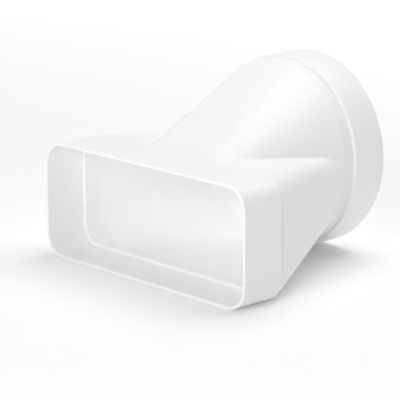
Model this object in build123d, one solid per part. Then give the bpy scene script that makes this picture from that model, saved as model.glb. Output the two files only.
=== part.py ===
"""Eccentric duct reducer: a flat rectangular duct socket, a moulded transition and a round collar.

Three white plastic mouldings are cemented end to end. X runs across the flat duct, +Y along the duct
towards the round collar and +Z up. The origin is at the bottom centre of the whole part.
"""
import math
import os

from build123d import *

# ---- driving dimensions, in millimetres ----
# flat duct that enters the rectangular socket
duct_width = 222.0
duct_height = 89.0
duct_corner_radius = 16.3
duct_clearance = 0.3  # per side, between the flat duct and its socket
socket_wall = 2.0
socket_depth = 39.0

# round duct that enters the collar
pipe_diameter = 153.4
pipe_clearance = 0.3  # per side, between the round duct and the collar's bore
collar_wall = 2.0
collar_length = 32.0

# transition between them
body_wall = 2.0
transition_length = 107.0
neck_length = 9.4  # bare neck between the transition and the collar
neck_lap = 8.0  # neck hidden inside the collar; its end stops the round duct
seat_step = 0.6  # the collar's bore is this much tighter, per side, where it seats on the neck
neck_shoulder = 0.4  # step from the transition down to the neck
bottom_blend_angle = 2.0  # degrees of the neck circle that the flat bottom runs out to, each side
side_blend_angle = 1.7  # degrees of the neck circle between the flat sides' ends and the shoulders

# shoulders (the two upper corners) as they run back into the neck
shoulder_drop = 6.0  # fall of the shoulders' flat top along the transition
shoulder_fall = 2.2  # above 1, most of that fall lies near the neck
shoulder_end_radius = 12.0
shoulder_tip_length = 4.0  # length of the blunt tip that each shoulder leaves on the neck circle

# hood that rises from the flat top to the upper half of the neck
hood_half_width = 52.0  # at the socket's back plane, where it is still under the flat top
hood_corner_radius = 24.0
hood_start_depth = 1.6  # its top below the flat top at that plane
valley_width = 4.5  # softness of the hollow where the hood leaves the flat top
valley_start = 0.1  # share of the transition along which the hollow grows to that softness

# stop lip inside the flat socket, and the thick rim behind it
stop_lip_length = 2.0
stop_lip_thickness = 2.4
rim_length = 14.0
inner_step = 0.2  # step of the hollow behind the stop lip, and where it meets the neck's bore

# cemented joints
joint_gap = 0.2  # radial gap between lapped mouldings
film_clearance = 0.02  # each side of the cured cement film

edge_radius = 0.5  # soft edges of the two mouths
collar_front_radius = 1.0  # rounded edge of the collar where it stands proud of the neck

# ---- derived sizes ----
socket_width = duct_width + 2 * (duct_clearance + socket_wall)
socket_height = duct_height + 2 * (duct_clearance + socket_wall)
socket_radius = duct_corner_radius + duct_clearance + socket_wall
bore_radius = pipe_diameter / 2 + pipe_clearance
collar_radius = bore_radius + collar_wall
seat_radius = bore_radius - seat_step
neck_radius = seat_radius - joint_gap
axis_height = collar_radius  # the collar's lowest line is level with the flat bottom
total_length = socket_depth + transition_length + neck_length + collar_length

mouth_y = -total_length / 2
crease_y = mouth_y + socket_depth
neck_y = crease_y + transition_length
collar_y = neck_y + neck_length
pipe_stop_y = collar_y + neck_lap
end_y = total_length / 2

lip_inset = socket_wall + joint_gap
lip_inner_inset = lip_inset + stop_lip_thickness
polar_height = socket_height / 2  # height of the point that the sections are measured from

shoulder_steps = 14
hood_steps = 16
point_crowding = 1.4  # above 1, section points gather at the valley
stations = 17


def blend(start, end, share):
    """The value at a share of the way from start to end."""
    return start + (end - start) * share


def rounded_face(inset, y):
    """The socket's outline, moved inwards by an inset, as a face across the duct at y."""
    plane = Plane(origin=(0, y, socket_height / 2), x_dir=(1, 0, 0), z_dir=(0, -1, 0))
    outline = RectangleRounded(
        socket_width - 2 * inset, socket_height - 2 * inset, socket_radius - inset
    )
    return plane * outline


def rounded_bar(inset, start_y, end_y_):
    """A bar with the socket's outline less an inset, between two places along the duct."""
    return extrude(rounded_face(inset, start_y), amount=end_y_ - start_y, dir=(0, 1, 0))


def round_bar(radius, start_y, end_y_):
    """A cylinder on the round collar's axis, between two places along the duct."""
    plane = Plane(origin=(0, start_y, axis_height), x_dir=(1, 0, 0), z_dir=(0, -1, 0))
    return extrude(plane * Circle(radius), amount=end_y_ - start_y, dir=(0, 1, 0))


def circle_point(radius, degrees_):
    """A point (x, z) of a circle on the collar's axis."""
    angle = math.radians(degrees_)
    return radius * math.cos(angle), axis_height + radius * math.sin(angle)


def hood_reach(direction, share, inset):
    """Distance from the polar point to the hood's skin, in a direction, at a share of the transition."""
    end_radius = neck_radius + neck_shoulder - inset
    radius = blend(hood_corner_radius, end_radius, share)
    centre_x = blend(hood_half_width - inset - hood_corner_radius, 0, share)
    start_z = socket_height - inset - hood_start_depth - hood_corner_radius
    centre_z = blend(start_z, axis_height, share)
    cosine, sine = math.cos(direction), math.sin(direction)
    rise = polar_height - centre_z
    if sine > 0:
        to_top = (radius - rise) / sine
        if to_top * cosine <= centre_x:
            return to_top
    if polar_height + (centre_x + radius) * math.tan(direction) < centre_z:
        return (centre_x + radius) / cosine
    along = rise * sine - centre_x * cosine
    return -along + math.sqrt(max(along**2 - centre_x**2 - rise**2 + radius**2, 0))


def soft_max(first, second, width):
    """The larger of two lengths, with a rounded change from one to the other."""
    if width <= 0:
        return max(first, second)
    overlap = max(width - abs(first - second), 0) / width
    return max(first, second) + overlap**2 * width / 4


def shoulder_outline(share, inset):
    """Right half of the section's top without the hood, as (corner centre x, corner centre z, radius)."""
    end_radius = neck_radius + neck_shoulder - inset
    half_width = blend(socket_width / 2 - inset, end_radius, share)
    radius = blend(socket_radius - inset, shoulder_end_radius - inset / 2, share)
    top = socket_height - inset - shoulder_drop * share**shoulder_fall
    return half_width - radius, top - radius, radius


def shoulder_polar(outline, length):
    """Direction and distance, from the polar point, of a place on the shoulder's outline."""
    centre_x, centre_z, radius = outline
    corner_length = radius * math.pi / 2
    angle = min(length, corner_length) / radius
    x = centre_x + radius * math.cos(angle) - max(length - corner_length, 0)
    z = centre_z + radius * math.sin(angle) - polar_height
    return math.atan2(z, x), math.hypot(x, z)


def flat_place(outline, direction):
    """Length along the shoulder's outline of the place that lies in a direction."""
    low, high = 0, outline[2] * math.pi / 2 + outline[0]
    for _ in range(40):
        middle = (low + high) / 2
        if shoulder_polar(outline, middle)[0] < direction:
            low = middle
        else:
            high = middle
    return high


def valley_length(outline, share, inset):
    """Length of the shoulder's outline, from the side to the place where the hood leaves it."""
    shown, hidden = outline[2] * math.pi / 2 + outline[0], 0

    def hood_shows(length):
        direction, reach = shoulder_polar(outline, length)
        return hood_reach(direction, share, inset) > reach

    if not hood_shows(shown):
        start = blend(hood_half_width - inset - hood_corner_radius, 0, share)
        return shown - start
    for _ in range(40):
        middle = (shown + hidden) / 2
        if hood_shows(middle):
            shown = middle
        else:
            hidden = middle
    return max(shown, shoulder_tip_length)


def top_points(share, inset):
    """The section's whole top, from the right side over the shoulder and hood to the left side."""
    outline = shoulder_outline(share, inset)
    length = valley_length(outline, share, inset)
    valley_direction, _ = shoulder_polar(outline, length)
    softness = blend(valley_width, 0, share) * min(share / valley_start, 1)

    def skin_point(direction, place):
        reach = hood_reach(direction, share, inset)
        if share < 1:
            reach = soft_max(shoulder_polar(outline, place)[1], reach, softness)
        return reach * math.cos(direction), polar_height + reach * math.sin(direction)

    right = []
    for step in range(shoulder_steps):
        place = length * (1 - (1 - step / shoulder_steps) ** point_crowding)
        right.append(skin_point(shoulder_polar(outline, place)[0], place))
    for step in range(hood_steps + 1):
        direction = blend(valley_direction, math.pi / 2, (step / hood_steps) ** point_crowding)
        right.append(skin_point(direction, flat_place(outline, direction)))
    return right + [(-x, z) for x, z in reversed(right[:-1])]


def section(share, inset):
    """The transition's outline at a share of its length, as a closed wire of six edges."""
    y = blend(crease_y, neck_y, share)
    end_radius = neck_radius + neck_shoulder - inset
    foot_x, foot_z = circle_point(end_radius, -90 + bottom_blend_angle)
    _, tip_z, _ = shoulder_outline(1, inset)
    tip_angle = math.degrees(math.asin((tip_z - axis_height) / end_radius))
    side_x, side_z = circle_point(end_radius, tip_angle - side_blend_angle)
    corner_x, corner_z = circle_point(end_radius, -45)
    radius = socket_radius - inset
    half_width = socket_width / 2 - inset
    middle = radius * (1 - math.sqrt(0.5))
    foot = (blend(half_width - radius, foot_x, share), blend(inset, foot_z, share))
    corner = (blend(half_width - middle, corner_x, share), blend(inset + middle, corner_z, share))
    side = (blend(half_width, side_x, share), blend(inset + radius, side_z, share))
    top = top_points(share, inset)

    def at(point, mirror=1):
        return Vector(mirror * point[0], y, point[1])

    steps = len(top) - 1
    crown = Edge.make_spline(
        [at(point) for point in top], parameters=[step / steps for step in range(steps + 1)]
    )
    edges = [
        Edge.make_line(at(foot, -1), at(foot)),
        Edge.make_three_point_arc(at(foot), at(corner), at(side)),
        Edge.make_line(at(side), at(top[0])),
        crown,
        Edge.make_line(at(top[-1]), at(side, -1)),
        Edge.make_three_point_arc(at(side, -1), at(corner, -1), at(foot, -1)),
    ]
    return Wire(edges)


def transition_block(start_inset, end_inset):
    """The transition as a solid block, its skin moved in by an inset that settles along a short rim."""
    wires = []
    for station in range(stations):
        share = station / (stations - 1)
        settled = min(share * transition_length / rim_length, 1)
        wires.append(section(share, blend(start_inset, end_inset, settled)))
    return Solid.make_loft(wires)


def mouth_edges(sleeve, y):
    """The edges of a sleeve that lie in the plane of its mouth."""
    near = 0.01
    return sleeve.edges().filter_by_position(Axis.Y, y - near, y + near)


def flat_socket():
    """The rectangular sleeve that the flat duct slides into."""
    sleeve = rounded_bar(0, mouth_y, crease_y) - rounded_bar(socket_wall, mouth_y - 1, crease_y + 1)
    return fillet(mouth_edges(sleeve, mouth_y), edge_radius)


def transition_body():
    """The moulding that turns the flat section into the round one, with its stop lip and its neck."""
    lip_y = crease_y - stop_lip_length
    skin = transition_block(0, 0)
    skin += rounded_bar(lip_inset, lip_y, crease_y)
    skin += round_bar(neck_radius, neck_y, pipe_stop_y)
    hollow = transition_block(lip_inner_inset - inner_step, body_wall + neck_shoulder + inner_step)
    hollow += rounded_bar(lip_inner_inset, lip_y - 1, crease_y)
    hollow += round_bar(neck_radius - body_wall, neck_y, pipe_stop_y + 1)
    return skin - hollow


def round_collar():
    """The plain round sleeve that the round duct slides into."""
    ring = round_bar(collar_radius, collar_y, end_y)
    ring -= round_bar(seat_radius, collar_y - 1, pipe_stop_y + 1)
    ring -= round_bar(bore_radius, pipe_stop_y, end_y + 1)
    ring = fillet(mouth_edges(ring, end_y), edge_radius)
    front_edge = mouth_edges(ring, collar_y).sort_by(SortBy.LENGTH)[-1]
    return fillet(front_edge, collar_front_radius)


def flat_joint_cement():
    """The cured cement film between the stop lip and the rectangular sleeve."""
    start, end = crease_y - stop_lip_length, crease_y - film_clearance
    outer = rounded_bar(socket_wall + film_clearance, start, end)
    return outer - rounded_bar(lip_inset - film_clearance, start - 1, end + 1)


def round_joint_cement():
    """The cured cement film between the neck and the round collar."""
    outer = round_bar(seat_radius - film_clearance, collar_y, pipe_stop_y)
    return outer - round_bar(neck_radius + film_clearance, collar_y - 1, pipe_stop_y + 1)


def main():
    """Writes one file for each piece."""
    os.makedirs("parts", exist_ok=True)
    pieces = {
        "flat_socket": flat_socket,
        "transition_body": transition_body,
        "round_collar": round_collar,
        "flat_joint_cement": flat_joint_cement,
        "round_joint_cement": round_joint_cement,
    }
    for name, make in pieces.items():
        export_step(make(), f"parts/{name}.step")


main()
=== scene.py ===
"""Looks of an eccentric duct reducer in satin white plastic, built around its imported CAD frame.

Three mouldings make the part: a rectangular sleeve, a transition with shoulders and a hood, and a
round collar. Two thin films of cement join them. Places and outer sizes come from the frame; the
walls, radii and blends that the frame doesn't tell are the fields of each class, in metres.
"""
import logging
import math
from dataclasses import dataclass, field
from enum import Enum
from typing import Any, Callable, Dict, List, NamedTuple, Optional, Sequence, Tuple, Union

import bmesh
import bpy
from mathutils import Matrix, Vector

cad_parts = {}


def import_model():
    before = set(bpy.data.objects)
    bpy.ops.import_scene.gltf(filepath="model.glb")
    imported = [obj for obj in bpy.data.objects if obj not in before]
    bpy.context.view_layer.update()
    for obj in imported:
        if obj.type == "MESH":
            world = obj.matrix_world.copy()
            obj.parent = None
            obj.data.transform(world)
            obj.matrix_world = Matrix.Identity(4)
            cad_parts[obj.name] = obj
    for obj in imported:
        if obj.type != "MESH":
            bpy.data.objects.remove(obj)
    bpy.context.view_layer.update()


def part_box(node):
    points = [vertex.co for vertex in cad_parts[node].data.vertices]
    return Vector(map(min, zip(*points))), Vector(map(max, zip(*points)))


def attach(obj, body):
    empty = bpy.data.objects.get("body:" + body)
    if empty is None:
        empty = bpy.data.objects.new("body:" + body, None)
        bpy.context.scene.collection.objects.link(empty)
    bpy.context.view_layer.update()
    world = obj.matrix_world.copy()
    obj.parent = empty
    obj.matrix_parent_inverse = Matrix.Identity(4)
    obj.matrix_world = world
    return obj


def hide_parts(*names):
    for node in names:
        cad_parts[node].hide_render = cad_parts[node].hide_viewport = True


LOG = logging.getLogger("duct_reducer")
BODY = "root"
MM = 0.001
NEAR = 0.02 * MM  # places this near to each other count as level
WELD = 0.001 * MM  # vertices this near to each other are merged
HALVINGS = 40  # steps of a search by halving

Point = Tuple[float, float]
Span = Tuple[float, float]
Triple = Tuple[float, float, float]


class Node(Enum):
    """The frame's nodes."""

    SOCKET = "flat_socket"
    TRANSITION = "transition_body"
    COLLAR = "round_collar"
    FLAT_CEMENT = "flat_joint_cement"
    ROUND_CEMENT = "round_joint_cement"


class Slot(Enum):
    """The record's material slots."""

    SHELL = "shell"
    CEMENT = "cement"


class Element(Enum):
    """What is selected in edit mode: the operator's name for it and the mesh's own."""

    VERTEX = ("VERT", "verts")
    EDGE = ("EDGE", "edges")


# ---- shader maths ----


class Signal:
    """The output of a shader node, which Python's operators turn into Math nodes."""

    def __init__(self, sheet: "NodeSheet", socket: bpy.types.NodeSocket) -> None:
        """Wraps a socket.

        Args:
            sheet: The sheet that the socket's node lies on.
            socket: The output socket.
        """
        self.sheet = sheet
        self.socket = socket

    def _math(self, operation: str, *values: "Value") -> "Signal":
        """Adds a Math node, with its operation and up to three values."""
        return self.sheet.node("ShaderNodeMath", {"operation": operation}, dict(enumerate(values)))

    def __add__(self, other: "Value") -> "Signal":
        """self + other."""
        return self._math("ADD", self, other)

    def __radd__(self, other: "Value") -> "Signal":
        """other + self."""
        return self._math("ADD", other, self)

    def __sub__(self, other: "Value") -> "Signal":
        """self - other."""
        return self._math("SUBTRACT", self, other)

    def __rsub__(self, other: "Value") -> "Signal":
        """other - self."""
        return self._math("SUBTRACT", other, self)

    def __mul__(self, other: "Value") -> "Signal":
        """self * other."""
        return self._math("MULTIPLY", self, other)

    def __rmul__(self, other: "Value") -> "Signal":
        """other * self."""
        return self._math("MULTIPLY", other, self)

    def __neg__(self) -> "Signal":
        """-self."""
        return self._math("MULTIPLY", self, -1.0)

    def at_least(self, least: float) -> "Signal":
        """The larger of this signal and a number."""
        return self._math("MAXIMUM", self, least)

    def ramp(self, low: float, high: float, start: float = 0.0, end: float = 1.0) -> "Signal":
        """Maps a range of this signal to another, smoothly and without leaving it.

        Args:
            low: The value that gives start.
            high: The value that gives end.
            start: The result at low and below.
            end: The result at high and above.

        Returns:
            The mapped signal.
        """
        return self.sheet.node(
            "ShaderNodeMapRange",
            {"interpolation_type": "SMOOTHSTEP"},
            {"Value": self, "From Min": low, "From Max": high, "To Min": start, "To Max": end},
        )


Value = Union[Signal, float, Sequence[float]]


class NodeSheet:
    """The nodes of a material or a world, around its shader."""

    # A Mix node's colour sockets share their names with other ones, so they go by number.
    MIX_SHARE, MIX_FIRST, MIX_SECOND, MIX_RESULT = 0, 6, 7, 2

    def __init__(
        self,
        owner: Union[bpy.types.Material, bpy.types.World],
        shader: str = "Principled BSDF",
    ) -> None:
        """Opens the owner's nodes.

        Args:
            owner: The material or world.
            shader: The name of its shader node.
        """
        owner.use_nodes = True
        self.owner = owner
        self.tree = owner.node_tree
        self.shader = self.tree.nodes[shader]

    def node(
        self,
        kind: str,
        settings: Optional[Dict[str, Any]] = None,
        inputs: Optional[Dict[Union[str, int], Value]] = None,
        output: Union[str, int] = 0,
    ) -> Signal:
        """Adds a node.

        Args:
            kind: The node's type.
            settings: Its own settings, which are set first.
            inputs: Values or signals for its input sockets, by name or number.
            output: The output that is wanted.

        Returns:
            The signal of that output.
        """
        node = self.tree.nodes.new(kind)
        for name, value in (settings or {}).items():
            setattr(node, name, value)
        for name, value in (inputs or {}).items():
            self.feed(node.inputs[name], value)
        return Signal(self, node.outputs[output])

    def feed(self, socket: bpy.types.NodeSocket, value: Value) -> None:
        """Links a signal to an input socket, or sets the socket's own value."""
        if isinstance(value, Signal):
            self.tree.links.new(value.socket, socket)
        else:
            socket.default_value = value

    def set(self, **inputs: Value) -> None:
        """Feeds the shader's sockets, named with underscores for spaces."""
        for name, value in inputs.items():
            self.feed(self.shader.inputs[name.replace("_", " ").title()], value)

    def place(self) -> Signal:
        """The place on the object, in metres."""
        return self.node("ShaderNodeTexCoord", output="Object")

    def stretched(self, place: Signal, scale: Sequence[float]) -> Signal:
        """A place whose axes are scaled one by one."""
        return self.node("ShaderNodeMapping", {}, {"Vector": place, "Scale": scale})

    def noise(self, place: Signal, size: float, detail: float = 2.0, rough: float = 0.5) -> Signal:
        """Soft random values between 0 and 1.

        Args:
            place: Where they are read.
            size: The size of their blotches, in metres.
            detail: How many finer layers are added.
            rough: How strong the finer layers are.

        Returns:
            The noise.
        """
        inputs = {"Vector": place, "Scale": 1 / size, "Detail": detail, "Roughness": rough}
        return self.node("ShaderNodeTexNoise", {}, inputs)

    def mixed(self, share: Value, first: Sequence[float], second: Sequence[float]) -> Signal:
        """A colour between two colours."""
        inputs = {
            self.MIX_SHARE: share,
            self.MIX_FIRST: (*first, 1.0),
            self.MIX_SECOND: (*second, 1.0),
        }
        return self.node("ShaderNodeMix", {"data_type": "RGBA"}, inputs, self.MIX_RESULT)

    def bump(self, height: Signal, depth: float, strength: float) -> Signal:
        """A normal that is tilted by a height.

        Args:
            height: The height, between 0 and 1.
            depth: How deep that is, in metres.
            strength: How much of it shows.

        Returns:
            The normal.
        """
        inputs = {"Height": height, "Distance": depth, "Strength": strength}
        return self.node("ShaderNodeBump", {}, inputs)


# ---- finishes ----


@dataclass(frozen=True)
class SatinPlastic:
    """White moulded ABS: milky, with a satin skin, faint flow marks and a fine grain."""

    light: Triple = (0.98, 0.98, 0.977)
    dark: Triple = (0.968, 0.968, 0.965)
    cloud_range: Span = (0.35, 0.65)  # noise from the dark colour to the light one
    blotch: float = 26 * MM
    blotch_share: float = 0.6  # of the clouding; the flow marks are the rest
    ripple: float = 9 * MM  # width of the flow marks
    ripple_range: Span = (0.3, 0.7)  # noise from the least roughness to the most
    ripple_height: float = 0.8  # of the grain's
    grain: float = 0.5 * MM
    grain_roughness: float = 0.06
    roughness: Span = (0.33, 0.43)
    relief: float = 0.02 * MM
    relief_strength: float = 0.35
    milk_depth: float = 0.8 * MM

    def material(self, name: str, flow: Triple) -> bpy.types.Material:
        """Makes the plastic's material.

        Args:
            name: The material's name.
            flow: Scales of X, Y and Z; the melt ran along the axis with the smallest.

        Returns:
            The material.
        """
        sheet = NodeSheet(bpy.data.materials.new(name))
        place = sheet.place()
        blotches = sheet.noise(place, self.blotch, detail=3)
        streaks = sheet.noise(sheet.stretched(place, flow), self.ripple, detail=2)
        grain = sheet.noise(place, self.grain, detail=2, rough=0.6)
        cloud = blotches * self.blotch_share + streaks * (1 - self.blotch_share)
        gloss = streaks.ramp(*self.ripple_range, *self.roughness)
        relief = grain + streaks * self.ripple_height
        sheet.set(
            base_color=sheet.mixed(cloud.ramp(*self.cloud_range), self.dark, self.light),
            roughness=gloss + (grain - 0.5) * self.grain_roughness,
            normal=sheet.bump(relief, self.relief, self.relief_strength),
            subsurface_weight=1.0,
            subsurface_radius=(1.0, 1.0, 1.0),
            subsurface_scale=self.milk_depth,
        )
        return sheet.owner


@dataclass(frozen=True)
class CuredCement:
    """Solvent cement that has set in a lap: off-white, matt and slightly pitted."""

    clear: Triple = (0.94, 0.94, 0.925)
    cloudy: Triple = (0.98, 0.98, 0.97)
    cloud_range: Span = (0.3, 0.7)  # noise from the clear colour to the cloudy one
    pit: float = 1.2 * MM
    pit_range: Span = (0.2, 0.8)  # noise from the least roughness to the most
    pit_depth: float = 0.05 * MM
    pit_strength: float = 0.5
    roughness: Span = (0.5, 0.7)

    def material(self, name: str) -> bpy.types.Material:
        """Makes the cement's material."""
        sheet = NodeSheet(bpy.data.materials.new(name))
        pits = sheet.noise(sheet.place(), self.pit, detail=3, rough=0.6)
        sheet.set(
            base_color=sheet.mixed(pits.ramp(*self.cloud_range), self.clear, self.cloudy),
            roughness=pits.ramp(*self.pit_range, *self.roughness),
            normal=sheet.bump(pits, self.pit_depth, self.pit_strength),
        )
        return sheet.owner


@dataclass(frozen=True)
class MattPaper:
    """The studio's white floor paper, with a painted glow: it emits light where it runs away from
    the part.
    """

    light: Triple = (0.99, 0.99, 0.99)
    dark: Triple = (0.98, 0.98, 0.98)
    blotch: float = 0.4
    roughness: float = 0.9
    glow: float = 0.5
    glow_start: float = 0.2  # distance from the middle where the glow begins
    glow_end: float = 2.2  # and where it is full

    def material(self) -> bpy.types.Material:
        """Makes the paper's material."""
        sheet = NodeSheet(bpy.data.materials.new("studio_paper"))
        place = sheet.place()
        away = sheet.node(
            "ShaderNodeVectorMath", {"operation": "LENGTH"}, {0: place}, output="Value"
        )
        # painted light: the paper's emission grows with the distance from the middle, standing in
        # for light that the softboxes lose far away
        painted_glow_share = away.ramp(self.glow_start, self.glow_end)
        sheet.set(
            base_color=sheet.mixed(sheet.noise(place, self.blotch), self.dark, self.light),
            roughness=self.roughness,
            emission_color=sheet.mixed(painted_glow_share, (0.0, 0.0, 0.0), (self.glow,) * 3),
            emission_strength=1.0,
        )
        return sheet.owner


# ---- shaping with operators ----


class Bench:
    """The piece that is being shaped, and the tools that shape it."""

    ROUND_PROFILE = 0.5

    @staticmethod
    def clear() -> None:
        """Leaves edit mode and deselects every object."""
        if bpy.context.object and bpy.context.object.mode != "OBJECT":
            bpy.ops.object.mode_set(mode="OBJECT")
        bpy.ops.object.select_all(action="DESELECT")

    @staticmethod
    def start(name: str) -> bpy.types.Object:
        """Names the primitive that was just added, puts its place in its mesh and opens it.

        Args:
            name: The piece's name.

        Returns:
            The piece, in edit mode.
        """
        piece = bpy.context.active_object
        piece.name = piece.data.name = name
        bpy.ops.object.transform_apply(location=True, rotation=True, scale=True)
        bpy.ops.object.mode_set(mode="EDIT")
        return piece

    @staticmethod
    def pick(element: Element, wanted: Callable[[Vector], bool]) -> None:
        """Selects the vertices or edges whose middle is wanted, and nothing else."""
        mode, group = element.value
        bpy.ops.mesh.select_mode(type=mode)
        bpy.ops.mesh.select_all(action="DESELECT")
        mesh = bpy.context.edit_object.data
        shape = bmesh.from_edit_mesh(mesh)
        for part in getattr(shape, group):
            corners = [part] if element is Element.VERTEX else part.verts
            middle = sum((corner.co for corner in corners), Vector()) / len(corners)
            part.select_set(wanted(middle))
        shape.select_flush_mode()
        bmesh.update_edit_mesh(mesh)

    @staticmethod
    def extrude(step: Vector) -> None:
        """Extrudes what is selected by a step."""
        bpy.ops.mesh.extrude_region_move(TRANSFORM_OT_translate={"value": step})

    @staticmethod
    def bevel(radius: float, segments: int, affect: str = "EDGES") -> None:
        """Rounds the selected edges or vertices."""
        bpy.ops.mesh.bevel(
            offset=radius,
            offset_type="OFFSET",
            segments=segments,
            profile=Bench.ROUND_PROFILE,
            affect=affect,
        )

    @staticmethod
    def tidy_shell() -> None:
        """Merges doubles and turns all faces outwards."""
        bpy.ops.mesh.select_all(action="SELECT")
        bpy.ops.mesh.remove_doubles(threshold=WELD)
        bpy.ops.mesh.normals_make_consistent(inside=False)

    @staticmethod
    def modify(piece: bpy.types.Object, kind: str, **settings: Any) -> None:
        """Adds a modifier, sets it and applies it.

        Args:
            piece: The piece.
            kind: The modifier's type.
            **settings: Its settings.
        """
        modifier = piece.modifiers.new(kind.lower(), kind)
        for name, value in settings.items():
            setattr(modifier, name, value)
        bpy.ops.object.modifier_apply(modifier=modifier.name)

    @staticmethod
    def smooth(angle: float = 35.0) -> None:
        """Leaves edit mode and smooths the piece's shading, except over sharper edges."""
        bpy.ops.object.mode_set(mode="OBJECT")
        bpy.ops.object.shade_smooth_by_angle(angle=math.radians(angle))

    @staticmethod
    def deliver(piece: bpy.types.Object, nodes: Sequence[Node], slot: Slot) -> None:
        """Lets a finished piece ride on the body and stand for its CAD nodes.

        Args:
            piece: The piece.
            nodes: The nodes that it stands for.
            slot: The slot that its finish comes from; not used.
        """
        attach(piece, BODY)
        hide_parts(*[node.value for node in nodes])
        LOG.info("%s: %d faces", piece.name, len(piece.data.polygons))


def blend(start: float, end: float, share: float) -> float:
    """The value at a share of the way from start to end."""
    return start + (end - start) * share


def soft_max(first: float, second: float, width: float) -> float:
    """The larger of two lengths, with a rounded change from one to the other."""
    if width <= 0:
        return max(first, second)
    overlap = max(width - abs(first - second), 0) / width
    return max(first, second) + overlap**2 * width / 4


def quarter(radius: float, steps: int) -> List[Point]:
    """A quarter turn between two faces, as (distance from the one, distance from the other).

    Args:
        radius: The turn's radius.
        steps: How many steps it takes.

    Returns:
        Its points, from (radius, 0) to (0, radius).
    """
    angles = [math.pi / 2 * step / steps for step in range(steps + 1)]
    return [(radius * (1 - math.sin(angle)), radius * (1 - math.cos(angle))) for angle in angles]


# ---- pieces ----


@dataclass
class FlatSleeve:
    """The rectangular sleeve that the flat duct slides into, with its soft-edged mouth."""

    wall: float = 2.0 * MM
    corner_radius: float = 18.6 * MM
    corner_segments: int = 24
    rim_radius: float = 0.5 * MM  # soft edges of the mouth
    rim_segments: int = 6
    rings: int = 8
    flow: Triple = (1.0, 0.15, 1.0)  # the melt ran along the duct
    low: Vector = field(init=False)
    high: Vector = field(init=False)

    def __post_init__(self) -> None:
        """Reads the sleeve's place from the frame."""
        self.low, self.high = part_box(Node.SOCKET.value)

    def build(self, finish: SatinPlastic) -> None:
        """Shapes and dresses the sleeve.

        Args:
            finish: The plastic that it is moulded in.
        """
        piece = self._tube()
        self._soften_mouth()
        Bench.smooth()
        piece.data.materials.append(finish.material("sleeve_plastic", self.flow))
        Bench.deliver(piece, [Node.SOCKET], Slot.SHELL)

    def _tube(self) -> bpy.types.Object:
        """Draws the mouth's outline, pulls it along the duct and gives it its wall."""
        size = self.high - self.low
        middle = Vector((0, self.low.y, (self.low.z + self.high.z) / 2))
        Bench.clear()
        bpy.ops.mesh.primitive_plane_add(size=1, rotation=(math.radians(90), 0, 0), location=middle)
        piece = Bench.start("flat_sleeve")
        bpy.ops.transform.resize(value=(size.x, 1, size.z), center_override=middle)
        Bench.bevel(self.corner_radius, self.corner_segments, affect="VERTICES")
        bpy.ops.mesh.delete(type="ONLY_FACE")
        bpy.ops.mesh.select_all(action="SELECT")
        for _ in range(self.rings):
            Bench.extrude(Vector((0, size.y / self.rings, 0)))
        Bench.tidy_shell()
        bpy.ops.object.mode_set(mode="OBJECT")
        Bench.modify(piece, "SOLIDIFY", thickness=self.wall, offset=-1, use_even_offset=True)
        return piece

    def _soften_mouth(self) -> None:
        """Rounds the mouth's two edges."""
        bpy.ops.object.mode_set(mode="EDIT")
        Bench.pick(
            Element.EDGE,
            lambda place: place.y < self.low.y + NEAR and not self._inside_wall(place),
        )
        Bench.bevel(self.rim_radius, self.rim_segments)

    def _inside_wall(self, place: Vector) -> bool:
        """Whether a place of the mouth's end face lies between its two edges."""
        half = (self.high - self.low) / 2
        x = abs(place.x) - (half.x - self.corner_radius)
        z = abs(place.z - (self.low.z + self.high.z) / 2) - (half.z - self.corner_radius)
        outwards = math.hypot(x, z) if x > 0 and z > 0 else max(x, z)
        depth, slack = self.corner_radius - outwards, 4 * NEAR
        return slack < depth < self.wall - slack


class Corner(NamedTuple):
    """A rounded corner of a section: its centre and its radius."""

    x: float
    z: float
    radius: float

    @property
    def turn(self) -> float:
        """The length of its quarter circle."""
        return self.radius * math.pi / 2

    @property
    def reach(self) -> float:
        """The length from its start, round it and along the level top to the middle."""
        return self.turn + self.x


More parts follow.
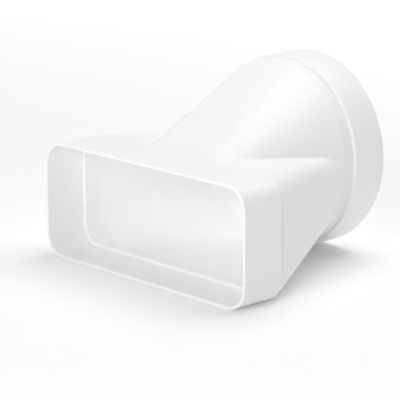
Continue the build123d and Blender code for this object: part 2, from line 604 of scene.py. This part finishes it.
@dataclass
class SkinLaw:
    """The rule that turns the flat section into the round one, for the skin or an inset of it."""

    width: float
    height: float
    corner_radius: float
    end_radius: float
    axis_height: float
    bottom_angle: float = 2.0  # degrees of the end circle that the flat bottom runs out to
    side_angle: float = 1.7  # degrees of it between the flat side's end and the shoulder
    shoulder_drop: float = 6.0 * MM  # fall of the shoulder's flat top along the transition
    shoulder_fall: float = 2.2  # above 1, most of that fall lies near the round end
    shoulder_radius: float = 12.0 * MM  # at the round end
    tip_length: float = 4.0 * MM  # blunt tip that the shoulder leaves on the end circle
    hood_half_width: float = 52.0 * MM  # at the flat end, where it is still under the top
    hood_radius: float = 24.0 * MM  # of its corners there
    hood_depth: float = 1.6 * MM  # its top below the flat top there
    valley_width: float = 4.5 * MM  # softness of the hollow where the hood leaves the top
    valley_start: float = 0.1  # share of the length along which the hollow grows to that
    crowding: float = 1.4  # above 1, points gather at the valley
    bottom_points: int = 7
    corner_points: int = 16
    side_points: int = 8
    shoulder_points: int = 30
    hood_points: int = 40

    @property
    def half_points(self) -> int:
        """Steps from the bottom's middle to the top's middle."""
        return (
            self.bottom_points
            + self.corner_points
            + self.side_points
            + self.shoulder_points
            + self.hood_points
        )

    @property
    def polar_height(self) -> float:
        """The height of the point that the top is measured from."""
        return self.height / 2

    def circle(self, radius: float, degrees: float) -> Point:
        """A point (x, z) of a circle on the round end's axis."""
        angle = math.radians(degrees)
        return radius * math.cos(angle), self.axis_height + radius * math.sin(angle)

    def shoulder(self, share: float, inset: float) -> Corner:
        """The right shoulder's corner."""
        half_width = blend(self.width / 2 - inset, self.end_radius - inset, share)
        radius = blend(self.corner_radius - inset, self.shoulder_radius - inset / 2, share)
        top = self.height - inset - self.shoulder_drop * share**self.shoulder_fall
        return Corner(half_width - radius, top - radius, radius)

    def hood_centre_x(self, share: float, inset: float) -> float:
        """How far from the middle the hood's right corner has its centre."""
        return blend(self.hood_half_width - inset - self.hood_radius, 0, share)

    def hood_reach(self, direction: float, share: float, inset: float) -> float:
        """The hood's distance from the polar point.

        Args:
            direction: The angle above the horizontal.
            share: The share of the transition's length.
            inset: How far the skin is moved in.

        Returns:
            The distance.
        """
        radius = blend(self.hood_radius, self.end_radius - inset, share)
        centre_x = self.hood_centre_x(share, inset)
        start_z = self.height - inset - self.hood_depth - self.hood_radius
        centre_z = blend(start_z, self.axis_height, share)
        cosine, sine = math.cos(direction), math.sin(direction)
        rise = self.polar_height - centre_z
        if sine > 0:
            to_top = (radius - rise) / sine
            if to_top * cosine <= centre_x:
                return to_top
        if self.polar_height + (centre_x + radius) * math.tan(direction) < centre_z:
            return (centre_x + radius) / cosine
        along = rise * sine - centre_x * cosine
        return -along + math.sqrt(max(along**2 - centre_x**2 - rise**2 + radius**2, 0))

    def shoulder_polar(self, corner: Corner, length: float) -> Point:
        """Direction and distance of a place on the shoulder, by its length from the flat side."""
        angle = min(length, corner.turn) / corner.radius
        x = corner.x + corner.radius * math.cos(angle) - max(length - corner.turn, 0)
        z = corner.z + corner.radius * math.sin(angle) - self.polar_height
        return math.atan2(z, x), math.hypot(x, z)

    @staticmethod
    def search(low: float, high: float, beyond: Callable[[float], bool]) -> float:
        """The place between low and high from which a test holds, by halving."""
        for _ in range(HALVINGS):
            middle = (low + high) / 2
            if beyond(middle):
                high = middle
            else:
                low = middle
        return high

    def valley(self, corner: Corner, share: float, inset: float) -> float:
        """The length along the shoulder at which the hood leaves it."""

        def hood_shows(length: float) -> bool:
            """Whether the hood lies outside the shoulder there."""
            direction, reach = self.shoulder_polar(corner, length)
            return self.hood_reach(direction, share, inset) > reach

        if not hood_shows(corner.reach):
            return corner.reach - self.hood_centre_x(share, inset)
        return max(self.search(0, corner.reach, hood_shows), self.tip_length)

    def skin_point(self, direction: float, length: float, share: float, inset: float) -> Point:
        """The place (x, z) where the shoulder and the hood, softly joined, meet a direction."""
        reach = self.hood_reach(direction, share, inset)
        softness = blend(self.valley_width, 0, share) * min(share / self.valley_start, 1)
        if share < 1:
            shoulder = self.shoulder_polar(self.shoulder(share, inset), length)[1]
            reach = soft_max(shoulder, reach, softness)
        return reach * math.cos(direction), self.polar_height + reach * math.sin(direction)

    def top(self, share: float, inset: float) -> List[Point]:
        """The right half of the top, from the flat side to the middle."""
        corner = self.shoulder(share, inset)
        length = self.valley(corner, share, inset)
        turn = self.shoulder_polar(corner, length)[0]
        points = []
        for step in range(self.shoulder_points):
            place = length * (1 - (1 - step / self.shoulder_points) ** self.crowding)
            direction = self.shoulder_polar(corner, place)[0]
            points.append(self.skin_point(direction, place, share, inset))
        for step in range(self.hood_points + 1):
            direction = blend(turn, math.pi / 2, (step / self.hood_points) ** self.crowding)
            place = self.search(
                0,
                corner.reach,
                lambda at, aim=direction: self.shoulder_polar(corner, at)[0] >= aim,
            )
            points.append(self.skin_point(direction, place, share, inset))
        return points

    def bottom(self, share: float, inset: float) -> List[Point]:
        """The right half of the bottom, from the middle round the corner to the flat side's end."""
        radius = self.end_radius - inset
        tip_z = self.shoulder(1, inset).z
        tip_angle = math.degrees(math.asin((tip_z - self.axis_height) / radius))
        last_angle = tip_angle - self.side_angle
        first_angle = -90 + self.bottom_angle
        corner_radius = self.corner_radius - inset
        centre_x = self.width / 2 - inset - corner_radius
        points = []
        foot = self.circle(radius, first_angle)
        foot_x = blend(centre_x, foot[0], share)
        foot_z = blend(inset, foot[1], share)
        for step in range(self.bottom_points):
            points.append((foot_x * step / self.bottom_points, foot_z))
        for step in range(self.corner_points + 1):
            turn = step / self.corner_points
            angle = math.radians(blend(-90, 0, turn))
            x = centre_x + corner_radius * math.cos(angle)
            z = inset + corner_radius * (1 + math.sin(angle))
            end = self.circle(radius, blend(first_angle, last_angle, turn))
            points.append((blend(x, end[0], share), blend(z, end[1], share)))
        return points

    def half_ring(self, share: float, inset: float) -> List[Point]:
        """The right half of a section, from the bottom's middle to the top's middle.

        Args:
            share: The share of the transition's length.
            inset: How far the skin is moved in.

        Returns:
            Its points (x, z), half_points + 1 of them.
        """
        points = self.bottom(share, inset)
        start, top = points[-1], self.top(share, inset)
        for step in range(1, self.side_points):
            along = step / self.side_points
            points.append((blend(start[0], top[0][0], along), blend(start[1], top[0][1], along)))
        return points + top


class RingShell:
    """A closed shell whose skin runs through a row of rings and back to the first."""

    RING_SLACK = 0.1  # how far a ring of the unit tube may lie from its whole number

    def _stack(self, name: str, rings: Sequence[Sequence[Vector]]) -> bpy.types.Object:
        """Pulls a circle into a closed tube and moves each of its vertices to its place.

        Args:
            name: The piece's name.
            rings: The rings, each from the bottom's middle over the right side and round.

        Returns:
            The shell, in edit mode.
        """
        Bench.clear()
        bpy.ops.mesh.primitive_circle_add(
            vertices=len(rings[0]), radius=1, rotation=(math.radians(90), 0, 0)
        )
        piece = Bench.start(name)
        for _ in rings[1:]:
            Bench.extrude(Vector((0, 1, 0)))
        last = len(rings) - 1
        Bench.pick(
            Element.EDGE,
            lambda middle: middle.y < self.RING_SLACK or middle.y > last - self.RING_SLACK,
        )
        bpy.ops.mesh.bridge_edge_loops()
        self._place(piece.data, rings)
        Bench.tidy_shell()
        return piece

    @staticmethod
    def _place(mesh: bpy.types.Mesh, rings: Sequence[Sequence[Vector]]) -> None:
        """Moves each vertex of a tube of unit rings to its place in its own ring."""
        shape = bmesh.from_edit_mesh(mesh)
        points = len(rings[0])
        for vertex in shape.verts:
            angle = math.atan2(vertex.co.x, -vertex.co.z) % math.tau
            ring = rings[round(vertex.co.y)]
            vertex.co = ring[round(angle * points / math.tau) % points]
        bmesh.update_edit_mesh(mesh)

    @staticmethod
    def _whole(half: Sequence[Point], y: float) -> List[Vector]:
        """A whole ring across the duct from its right half."""
        right = [Vector((x, y, z)) for x, z in half]
        return right + [Vector((-point.x, y, point.z)) for point in reversed(right[1:-1])]


@dataclass
class TransitionShell(RingShell):
    """The moulding between the two ends, with its stop lip in front and its neck behind."""

    sleeve: FlatSleeve
    wall: float = 2.0 * MM
    joint_gap: float = 0.2 * MM  # between the sleeve and the stop lip
    lip_thickness: float = 2.4 * MM
    lip_settles: float = 14.0 * MM  # length in which it fades into the wall behind the crease
    neck_length: float = 9.4 * MM
    neck_shoulder: float = 0.4 * MM  # step from the transition down to the neck
    skin_rings: int = 72
    inner_rings: int = 48
    lip_radius: float = 0.3 * MM  # soft edges of the lip's front and the neck's end
    step_radius: float = 0.2 * MM  # soft edge of the step down to the neck
    corner_steps: int = 4
    flow: Triple = (1.0, 0.15, 1.0)  # the melt ran along the duct
    low: Vector = field(init=False)
    high: Vector = field(init=False)
    neck_y: float = field(init=False)
    law: SkinLaw = field(init=False)

    def __post_init__(self) -> None:
        """Reads the transition's places from the frame."""
        self.low, self.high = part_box(Node.TRANSITION.value)
        collar_low, collar_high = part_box(Node.COLLAR.value)
        self.neck_y = collar_low.y - self.neck_length
        axis_height = (collar_low.z + collar_high.z) / 2
        size = self.sleeve.high - self.sleeve.low
        end_radius = self.high.z - axis_height
        self.law = SkinLaw(size.x, size.z, self.sleeve.corner_radius, end_radius, axis_height)

    @property
    def lip_inset(self) -> float:
        """How far the stop lip lies inside the sleeve's skin."""
        return self.sleeve.wall + self.joint_gap

    @property
    def neck_radius(self) -> float:
        """The neck's outer radius."""
        return self.law.end_radius - self.neck_shoulder

    def flat_ring(self, inset: float, y: float) -> List[Vector]:
        """A ring of the flat section, moved in by an inset."""
        return self._whole(self.law.half_ring(0, inset), y)

    def round_ring(self, radius: float, y: float) -> List[Vector]:
        """A ring round the neck's axis."""
        return self._whole(self.law.half_ring(1, self.law.end_radius - radius), y)

    def turning_ring(self, share: float, inset: float) -> List[Vector]:
        """A ring at a share of the way from the crease to the neck, moved in by an inset."""
        y = blend(self.sleeve.high.y, self.neck_y, share)
        return self._whole(self.law.half_ring(share, inset), y)

    def build(self, finish: SatinPlastic) -> None:
        """Shapes and dresses the transition.

        Args:
            finish: The plastic that it is moulded in.
        """
        piece = self._stack("transition_shell", self._skin() + self._hollow())
        Bench.smooth()
        piece.data.materials.append(finish.material("transition_plastic", self.flow))
        Bench.deliver(piece, [Node.TRANSITION], Slot.SHELL)

    def _skin(self) -> List[List[Vector]]:
        """The rings of the outside, from the stop lip's front to the neck's end."""
        rings = [
            self.flat_ring(self.lip_inset + across, self.low.y + along)
            for across, along in quarter(self.lip_radius, self.corner_steps)
        ]
        rings.append(self.flat_ring(self.lip_inset, self.sleeve.high.y))
        rings += [self.turning_ring(step / self.skin_rings, 0) for step in range(self.skin_rings)]
        rings += self._turned_edge(self.law.end_radius, self.neck_y, self.step_radius)
        rings.append(self.round_ring(self.neck_radius, self.neck_y))
        return rings + self._turned_edge(self.neck_radius, self.high.y, self.lip_radius)

    def _hollow(self) -> List[List[Vector]]:
        """The rings of the inside, from the neck's end back to the stop lip's front."""
        length = self.neck_y - self.sleeve.high.y
        front_inset = self.lip_inset + self.lip_thickness
        bore = self.neck_radius - self.wall
        rings = [
            self.round_ring(bore + across, self.high.y - along)
            for across, along in quarter(self.lip_radius, self.corner_steps)
        ]
        for step in range(self.inner_rings + 1):
            share = 1 - step / self.inner_rings
            settled = min(share * length / self.lip_settles, 1)
            inset = blend(front_inset, self.wall + self.neck_shoulder, settled)
            rings.append(self.turning_ring(share, inset))
        return rings + [
            self.flat_ring(front_inset - across, self.low.y + along)
            for across, along in reversed(quarter(self.lip_radius, self.corner_steps))
        ]

    def _turned_edge(self, radius: float, end_y: float, softness: float) -> List[List[Vector]]:
        """The rings of a round skin's soft edge, where it ends.

        Args:
            radius: The skin's radius.
            end_y: Where it ends.
            softness: The edge's radius.

        Returns:
            The rings, from the skin into its end face.
        """
        return [
            self.round_ring(radius - across, end_y - along)
            for across, along in reversed(quarter(softness, self.corner_steps))
        ]


@dataclass
class CollarRing:
    """The plain round sleeve that the round duct slides into, turned from its wall's section."""

    wall: float = 2.0 * MM
    seat_step: float = 0.6 * MM  # the seat is this much tighter than the bore, per side
    front_radius: float = 1.0 * MM  # edge that stands proud of the neck
    mouth_radius: float = 0.5 * MM
    corner_segments: int = 6
    straight_angle: float = 1.0  # degrees; a bend below this is no corner of the section
    turns: int = 256
    flow: Triple = (1.0, 0.2, 1.0)  # the melt ran along the duct
    low: Vector = field(init=False)
    high: Vector = field(init=False)
    stop_y: float = field(init=False)

    def __post_init__(self) -> None:
        """Reads the collar's places from the frame."""
        self.low, self.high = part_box(Node.COLLAR.value)
        self.stop_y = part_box(Node.TRANSITION.value)[1].y

    @property
    def radius(self) -> float:
        """The collar's outer radius."""
        return (self.high.x - self.low.x) / 2

    @property
    def seat_radius(self) -> float:
        """The radius of the seat that the neck is cemented into."""
        return self.radius - self.wall - self.seat_step

    def build(self, finish: SatinPlastic) -> None:
        """Shapes and dresses the collar.

        Args:
            finish: The plastic that it is moulded in.
        """
        axis = Vector((0, self.low.y, self.high.z - self.radius))
        piece = self._section(axis)
        bpy.ops.mesh.select_all(action="SELECT")
        bpy.ops.mesh.spin(steps=self.turns, angle=math.tau, center=axis, axis=(0, 1, 0))
        Bench.tidy_shell()
        Bench.smooth()
        piece.data.materials.append(finish.material("collar_plastic", self.flow))
        Bench.deliver(piece, [Node.COLLAR], Slot.SHELL)

    def _section(self, axis: Vector) -> bpy.types.Object:
        """Draws the wall's section above the axis, with its seat step and its soft corners.

        Args:
            axis: The axis, at the collar's front.

        Returns:
            The section's outline, in edit mode.
        """
        end, stop = self.high.y, self.stop_y
        bore_z, top_z = self.high.z - self.wall, self.high.z
        middle = Vector((0, (stop + end) / 2, (bore_z + top_z) / 2))
        Bench.clear()
        bpy.ops.mesh.primitive_plane_add(size=1, rotation=(0, math.radians(90), 0), location=middle)
        piece = Bench.start("collar_ring")
        bpy.ops.transform.resize(value=(1, end - stop, self.wall), center_override=middle)
        Bench.pick(Element.EDGE, lambda place: place.y < stop + NEAR)
        Bench.extrude(Vector((0, axis.y - stop, 0)))
        Bench.pick(Element.EDGE, lambda place: place.y < stop - NEAR and place.z < bore_z + NEAR)
        Bench.extrude(Vector((0, 0, -self.seat_step)))
        bpy.ops.mesh.select_all(action="SELECT")
        bpy.ops.mesh.remove_doubles(threshold=WELD)
        self._round(
            lambda place: place.y < axis.y + NEAR and place.z > top_z - NEAR, self.front_radius
        )
        self._round(lambda place: place.y > end - NEAR, self.mouth_radius)
        bpy.ops.mesh.select_all(action="SELECT")
        bpy.ops.mesh.dissolve_limited(angle_limit=math.radians(self.straight_angle))
        bpy.ops.mesh.delete(type="ONLY_FACE")
        return piece

    def _round(self, wanted: Callable[[Vector], bool], radius: float) -> None:
        """Rounds the section's corners that are wanted."""
        Bench.pick(Element.VERTEX, wanted)
        Bench.bevel(radius, self.corner_segments, affect="VERTICES")


@dataclass
class CementSeams(RingShell):
    """The cured cement in the two laps, each film with the small bead that was squeezed out."""

    shell: TransitionShell
    collar: CollarRing
    slack: float = 0.02 * MM  # between a film and its walls
    flat_bead: float = 0.7 * MM
    round_bead: float = 0.5 * MM
    bead_steps: int = 6
    smooth_angle: float = 50.0

    def build(self, finish: CuredCement) -> None:
        """Shapes and dresses both seams.

        Args:
            finish: The cement's finish.
        """
        material = finish.material("cured_cement")
        for name, node, rings in (
            ("flat_seam_cement", Node.FLAT_CEMENT, self._flat_rings()),
            ("round_seam_cement", Node.ROUND_CEMENT, self._round_rings()),
        ):
            piece = self._stack(name, rings)
            Bench.smooth(self.smooth_angle)
            piece.data.materials.append(material)
            Bench.deliver(piece, [node], Slot.CEMENT)

    def _flat_rings(self) -> List[List[Vector]]:
        """The film between the sleeve and the stop lip, with a bead in front of the lip."""
        front, back = self.shell.low.y, self.shell.sleeve.high.y - self.slack
        wall, lip = self.shell.sleeve.wall, self.shell.lip_inset
        rings = [
            self.shell.flat_ring(wall + up, front - along)
            for along, up in quarter(self.flat_bead, self.bead_steps)
        ]
        rings.append(self.shell.flat_ring(lip - self.slack, front + self.shell.lip_radius))
        rings.append(self.shell.flat_ring(lip - self.slack, back))
        return rings + [self.shell.flat_ring(wall + self.slack, back)]

    def _round_rings(self) -> List[List[Vector]]:
        """The film between the neck and the collar's seat, with a bead in front of the collar."""
        front, back = self.collar.low.y, self.shell.high.y
        neck, seat = self.shell.neck_radius, self.collar.seat_radius
        rings = [
            self.shell.round_ring(neck + up, front - along)
            for along, up in quarter(self.round_bead, self.bead_steps)
        ]
        rings.append(self.shell.round_ring(seat - self.slack, front + self.slack))
        rings.append(self.shell.round_ring(seat - self.slack, back))
        return rings + [self.shell.round_ring(neck + self.slack, back)]


# ---- studio ----


@dataclass
class View:
    """The camera: a long lens that looks down on the rectangular mouth from its right."""

    azimuth: float = 46.74
    elevation: float = 14.22
    distance: float = 1.607
    focal_mm: float = 180.0
    sensor_mm: float = 36.0
    target: Triple = (-0.0332, -0.0001, 0.0427)

    def build(self) -> None:
        """Adds the camera and makes it the scene's own."""
        turn, lift = math.radians(self.azimuth), math.radians(self.elevation)
        back = Vector(
            (math.sin(turn) * math.cos(lift), -math.cos(turn) * math.cos(lift), math.sin(lift))
        )
        data = bpy.data.cameras.new("camera")
        data.lens = self.focal_mm
        data.sensor_width = self.sensor_mm
        camera = bpy.data.objects.new("camera", data)
        camera.location = Vector(self.target) + back * self.distance
        camera.rotation_euler = (-back).to_track_quat("-Z", "Y").to_euler()
        bpy.context.scene.collection.objects.link(camera)
        bpy.context.scene.camera = camera


@dataclass(frozen=True)
class Softbox:
    """A square studio light that faces the object."""

    name: str
    place: Triple
    size: float
    power: float
    aim: Triple = (0.0, 0.0, 0.05)

    def build(self) -> None:
        """Adds the light."""
        data = bpy.data.lights.new(self.name, "AREA")
        data.size = self.size
        data.energy = self.power
        light = bpy.data.objects.new(self.name, data)
        light.location = self.place
        away = Vector(self.aim) - Vector(self.place)
        light.rotation_euler = away.to_track_quat("-Z", "Y").to_euler()
        bpy.context.scene.collection.objects.link(light)


@dataclass(frozen=True)
class RoomLight:
    """The light of the studio's walls: even, and more of it from some sides than from others."""

    even: float = 0.07
    front: float = 0.46
    left: float = 0.56
    back: float = 0.42

    def build(self) -> None:
        """Makes it the scene's world."""
        world = bpy.data.worlds.new("studio_walls")
        sheet = NodeSheet(world, "Background")
        direction = sheet.node("ShaderNodeTexCoord", output="Generated")
        x, y = (
            sheet.node("ShaderNodeSeparateXYZ", {}, {"Vector": direction}, output=axis)
            for axis in "XY"
        )
        light = self.even
        for side, strength in ((-y, self.front), (-x, self.left), (y, self.back)):
            light = side.at_least(0) * strength + light
        sheet.set(color=(1.0, 1.0, 1.0, 1.0), strength=light)
        bpy.context.scene.world = world


@dataclass
class Studio:
    """The white room: floor paper, softboxes, the light of its walls and how far light bounces."""

    floor_size: float = 12.0
    bounces: int = 32
    room: RoomLight = field(default_factory=RoomLight)
    softboxes: Tuple[Softbox, ...] = (
        Softbox("overhead", (0.1, 0.55, 1.8), 1.7, 23.5),
        Softbox("low_front", (0.6, -1.6, 0.65), 0.8, 10.5),
    )

    def build(self) -> None:
        """Sets up the floor, the lights, the room's own light and the picture's plain tones."""
        Bench.clear()
        bpy.ops.mesh.primitive_plane_add(size=self.floor_size)
        floor = bpy.context.active_object
        floor.name = "studio_floor"
        floor.data.materials.append(MattPaper().material())
        for softbox in self.softboxes:
            softbox.build()
        self.room.build()
        bpy.context.scene.cycles.max_bounces = self.bounces
        bpy.context.scene.cycles.diffuse_bounces = self.bounces
        bpy.context.scene.view_settings.view_transform = "Standard"


def main() -> None:
    """Builds the pieces around the frame, in order, and lights them."""
    logging.basicConfig(level=logging.INFO, format="%(message)s")
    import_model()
    View().build()
    plastic = SatinPlastic()
    sleeve = FlatSleeve()
    sleeve.build(plastic)
    shell = TransitionShell(sleeve)
    shell.build(plastic)
    collar = CollarRing()
    collar.build(plastic)
    CementSeams(shell, collar).build(CuredCement())
    Studio().build()


if __name__ == "__main__":
    main()
